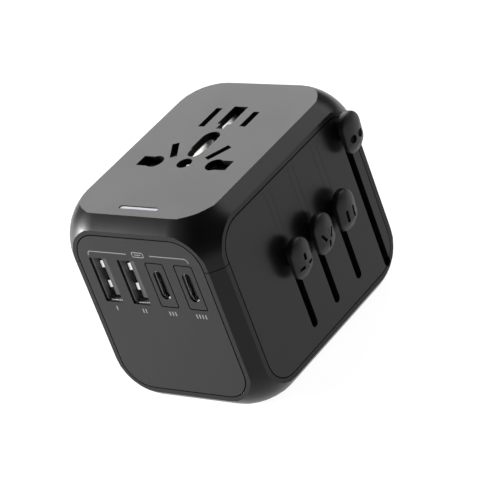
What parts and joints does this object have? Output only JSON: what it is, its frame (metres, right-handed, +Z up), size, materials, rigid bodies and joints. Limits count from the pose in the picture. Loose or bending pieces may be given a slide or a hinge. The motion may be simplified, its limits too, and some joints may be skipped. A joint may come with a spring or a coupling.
{
  "type": "universal travel adapter",
  "caption": "Universal travel adapter: a rounded box with a universal socket on top, USB outlets on the front and sliders on the side that push different plug pins out of the base",
  "frame": {"origin": "centre of the base of the housing, on the surface that it stands on", "axes": "+Z up through the socket face, +X out of the side with the sliders, -Y out of the side with the USB outlets"},
  "size_m": [0.0538, 0.0668, 0.0558],
  "materials": {
    "casing_plastic": "satin, light texture",
    "panel_plastic": "satin",
    "knob_plastic": "satin",
    "inner_plastic": "satin",
    "tray_plastic": "matte",
    "shutter_plastic": "satin",
    "light_guide": "frosted",
    "circuit_board": "solder mask",
    "sleeve": "shrink sleeve",
    "winding_tape": "film tape",
    "ferrite": "matte",
    "fuse_ceramic": "glazed",
    "steel": "plated",
    "nickel": "nickel plate",
    "brass": "drawn"
  },
  "bodies": {
    "housing": {"upper_casing": "casing_plastic", "lower_casing": "casing_plastic", "usb_panel": "panel_plastic", "slider_panel": "panel_plastic", "back_panel": "panel_plastic", "left_panel": "panel_plastic", "light_bar": "light_guide", "led_board": "circuit_board", "casing_screw_1": "steel", "casing_screw_2": "steel", "casing_screw_3": "steel", "casing_screw_4": "steel", "contact_tray": "tray_plastic", "live_contact": "brass", "neutral_contact": "brass", "earth_contact": "nickel", "live_rail": "brass", "neutral_rail": "brass", "live_shutter_spring": "steel", "neutral_shutter_spring": "steel", "usb_board": "circuit_board", "usb_a_shell_1": "steel", "usb_a_shell_2": "steel", "usb_a_tongue_1": "inner_plastic", "usb_a_tongue_2": "inner_plastic", "usb_c_bezel_1": "panel_plastic", "usb_c_bezel_2": "panel_plastic", "usb_c_shell_1": "steel", "usb_c_shell_2": "steel", "usb_c_tongue_1": "inner_plastic", "usb_c_tongue_2": "inner_plastic", "transformer_core": "ferrite", "transformer_winding": "winding_tape", "mains_capacitor": "sleeve", "output_capacitor": "sleeve", "fuse": "fuse_ceramic", "fuse_clip_left": "steel", "fuse_clip_right": "steel"},
    "uk_slider": {"uk_knob": "knob_plastic", "uk_carrier": "inner_plastic", "uk_pin_left": "brass", "uk_pin_right": "brass", "uk_earth_pin": "inner_plastic"},
    "aus_slider": {"aus_knob": "knob_plastic", "aus_carrier": "inner_plastic", "aus_blade_left": "nickel", "aus_blade_right": "nickel"},
    "us_slider": {"us_knob": "knob_plastic", "us_carrier": "inner_plastic", "us_blade_left": "nickel", "us_blade_right": "nickel"},
    "eu_slider": {"eu_knob": "knob_plastic", "eu_plug_body": "inner_plastic", "eu_pin_left": "nickel", "eu_pin_right": "nickel"},
    "live_shutter": {"live_shutter": "shutter_plastic"},
    "neutral_shutter": {"neutral_shutter": "shutter_plastic"}
  },
  "joints": [
    {"name": "uk_slide", "type": "slide", "parent": "housing", "child": "uk_slider", "axis": [0, 0, -1], "range_m": [0, 0.0182]},
    {"name": "aus_slide", "type": "slide", "parent": "housing", "child": "aus_slider", "axis": [0, 0, -1], "range_m": [0, 0.0182]},
    {"name": "us_slide", "type": "slide", "parent": "housing", "child": "us_slider", "axis": [0, 0, -1], "range_m": [0, 0.0182]},
    {"name": "eu_slide", "type": "slide", "parent": "housing", "child": "eu_slider", "axis": [0, 0, -1], "range_m": [0, 0.038]},
    {"name": "live_shutter_slide", "type": "slide", "parent": "housing", "child": "live_shutter", "axis": [-0.4327, -0.9015, 0], "range_m": [0, 0.0055], "stiffness_N_per_m": 60, "springref_m": -0.002, "deforming": ["live_shutter_spring"]},
    {"name": "neutral_shutter_slide", "type": "slide", "parent": "housing", "child": "neutral_shutter", "axis": [0.4327, -0.9015, 0], "range_m": [0, 0.0055], "stiffness_N_per_m": 60, "springref_m": -0.002, "deforming": ["neutral_shutter_spring"]}
  ]
}
